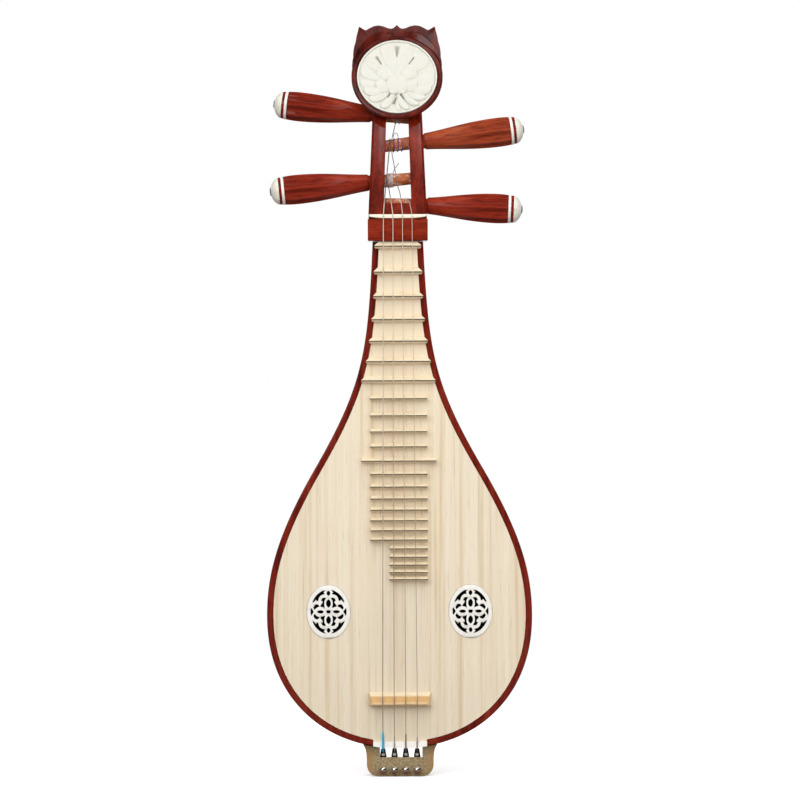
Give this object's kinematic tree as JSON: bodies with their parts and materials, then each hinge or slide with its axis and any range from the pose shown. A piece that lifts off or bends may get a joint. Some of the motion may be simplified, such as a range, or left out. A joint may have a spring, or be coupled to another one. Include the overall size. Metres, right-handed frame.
{
  "type": "liuqin",
  "caption": "Small pear-shaped plucked lute with a leaning pegbox, conical side pegs, raised frets, pierced oval rosettes and lever fine tuners.",
  "frame": {"origin": "on the flat bottom face of the tailpiece, on the centre line and in the plane of the soundboard's front", "axes": "+Z along the strings towards the head, X across with string 1 at -X, soundboard facing -Y"},
  "size_m": [0.2292, 0.0669, 0.6542],
  "materials": {
    "red_hardwood": "oiled dark red hardwood with a soft gloss",
    "paulownia": "bare pale paulownia, straight grain",
    "bamboo": "polished bamboo",
    "white_bone": "polished white bone or bone-coloured resin",
    "horn": "horn-coloured polished resin",
    "black_steel": "blackened steel",
    "chrome": "bright plating",
    "string_steel": "wound steel string"
  },
  "bodies": {
    "body": {"back_shell": "red_hardwood", "soundboard": "paulownia", "rosette_left": "white_bone", "rosette_right": "white_bone", "brace_upper": "paulownia", "brace_middle": "paulownia", "brace_lower": "paulownia", "sound_post": "paulownia", "bridge": "bamboo", "saddle": "white_bone", "nut_block": "red_hardwood", "nut_strip": "white_bone", "pegbox": "red_hardwood", "head_frame": "red_hardwood", "head_flower": "white_bone", "tailpiece": "horn", "fret_01": "bamboo", "fret_02": "bamboo", "fret_03": "bamboo", "fret_04": "bamboo", "fret_05": "bamboo", "fret_06": "bamboo", "fret_07": "bamboo", "fret_08": "bamboo", "fret_09": "bamboo", "fret_10": "bamboo", "fret_11": "bamboo", "fret_12": "bamboo", "fret_13": "bamboo", "fret_14": "bamboo", "fret_15": "bamboo", "fret_16": "bamboo", "fret_17": "bamboo", "fret_18": "bamboo", "fret_19": "bamboo", "fret_20": "bamboo", "fret_21": "bamboo", "fret_22": "bamboo", "fret_23": "bamboo", "fret_24": "bamboo", "string_1": "string_steel", "string_2": "string_steel", "string_3": "string_steel", "string_4": "string_steel"},
    "tuning_peg_1": {"peg_1": "red_hardwood", "string_1_winding": "string_steel"},
    "tuning_peg_2": {"peg_2": "red_hardwood", "string_2_winding": "string_steel"},
    "tuning_peg_3": {"peg_3": "red_hardwood", "string_3_winding": "string_steel"},
    "tuning_peg_4": {"peg_4": "red_hardwood", "string_4_winding": "string_steel"},
    "fine_tuner_screw_1": {"tuner_screw_1": "chrome"},
    "fine_tuner_screw_2": {"tuner_screw_2": "chrome"},
    "fine_tuner_screw_3": {"tuner_screw_3": "chrome"},
    "fine_tuner_screw_4": {"tuner_screw_4": "chrome"},
    "fine_tuner_lever_1": {"tuner_lever_1": "black_steel"},
    "fine_tuner_lever_2": {"tuner_lever_2": "black_steel"},
    "fine_tuner_lever_3": {"tuner_lever_3": "black_steel"},
    "fine_tuner_lever_4": {"tuner_lever_4": "black_steel"}
  },
  "joints": [
    {"name": "peg_1_turn", "type": "hinge", "parent": "body", "child": "tuning_peg_1", "pos_m": [0, 0.02909, 0.54774], "axis": [0.9917, 0.0441, 0.121], "continuous": true},
    {"name": "peg_2_turn", "type": "hinge", "parent": "body", "child": "tuning_peg_2", "pos_m": [0, 0.0177, 0.51645], "axis": [-0.9951, -0.034, -0.0933], "continuous": true},
    {"name": "peg_3_turn", "type": "hinge", "parent": "body", "child": "tuning_peg_3", "pos_m": [0, 0.03819, 0.57274], "axis": [-0.993, 0.0405, 0.1113], "continuous": true},
    {"name": "peg_4_turn", "type": "hinge", "parent": "body", "child": "tuning_peg_4", "pos_m": [0, 0.0097, 0.49446], "axis": [0.9988, -0.0167, -0.0459], "continuous": true},
    {"name": "tuner_screw_1_turn", "type": "hinge", "parent": "body", "child": "fine_tuner_screw_1", "pos_m": [-0.0147, 0, 0.0057], "axis": [0, 1, 0], "range_deg": [0, 1260]},
    {"name": "tuner_lever_1_tilt", "type": "hinge", "parent": "body", "child": "fine_tuner_lever_1", "pos_m": [-0.0147, 0.012, 0.0132], "axis": [1, 0, 0], "range_deg": [0, 15.5], "deforming": ["string_1"]},
    {"name": "tuner_screw_2_turn", "type": "hinge", "parent": "body", "child": "fine_tuner_screw_2", "pos_m": [-0.0049, 0, 0.0057], "axis": [0, 1, 0], "range_deg": [0, 1260]},
    {"name": "tuner_lever_2_tilt", "type": "hinge", "parent": "body", "child": "fine_tuner_lever_2", "pos_m": [-0.0049, 0.012, 0.0132], "axis": [1, 0, 0], "range_deg": [0, 15.5], "deforming": ["string_2"]},
    {"name": "tuner_screw_3_turn", "type": "hinge", "parent": "body", "child": "fine_tuner_screw_3", "pos_m": [0.0049, 0, 0.0057], "axis": [0, 1, 0], "range_deg": [0, 1260]},
    {"name": "tuner_lever_3_tilt", "type": "hinge", "parent": "body", "child": "fine_tuner_lever_3", "pos_m": [0.0049, 0.012, 0.0132], "axis": [1, 0, 0], "range_deg": [0, 15.5], "deforming": ["string_3"]},
    {"name": "tuner_screw_4_turn", "type": "hinge", "parent": "body", "child": "fine_tuner_screw_4", "pos_m": [0.0147, 0, 0.0057], "axis": [0, 1, 0], "range_deg": [0, 1260]},
    {"name": "tuner_lever_4_tilt", "type": "hinge", "parent": "body", "child": "fine_tuner_lever_4", "pos_m": [0.0147, 0.012, 0.0132], "axis": [1, 0, 0], "range_deg": [0, 15.5], "deforming": ["string_4"]}
  ],
  "couplings": [
    {"joint": "tuner_lever_1_tilt", "follows": "tuner_screw_1_turn", "ratio": 0.01061},
    {"joint": "tuner_lever_2_tilt", "follows": "tuner_screw_2_turn", "ratio": 0.01061},
    {"joint": "tuner_lever_3_tilt", "follows": "tuner_screw_3_turn", "ratio": 0.01061},
    {"joint": "tuner_lever_4_tilt", "follows": "tuner_screw_4_turn", "ratio": 0.01061}
  ]
}
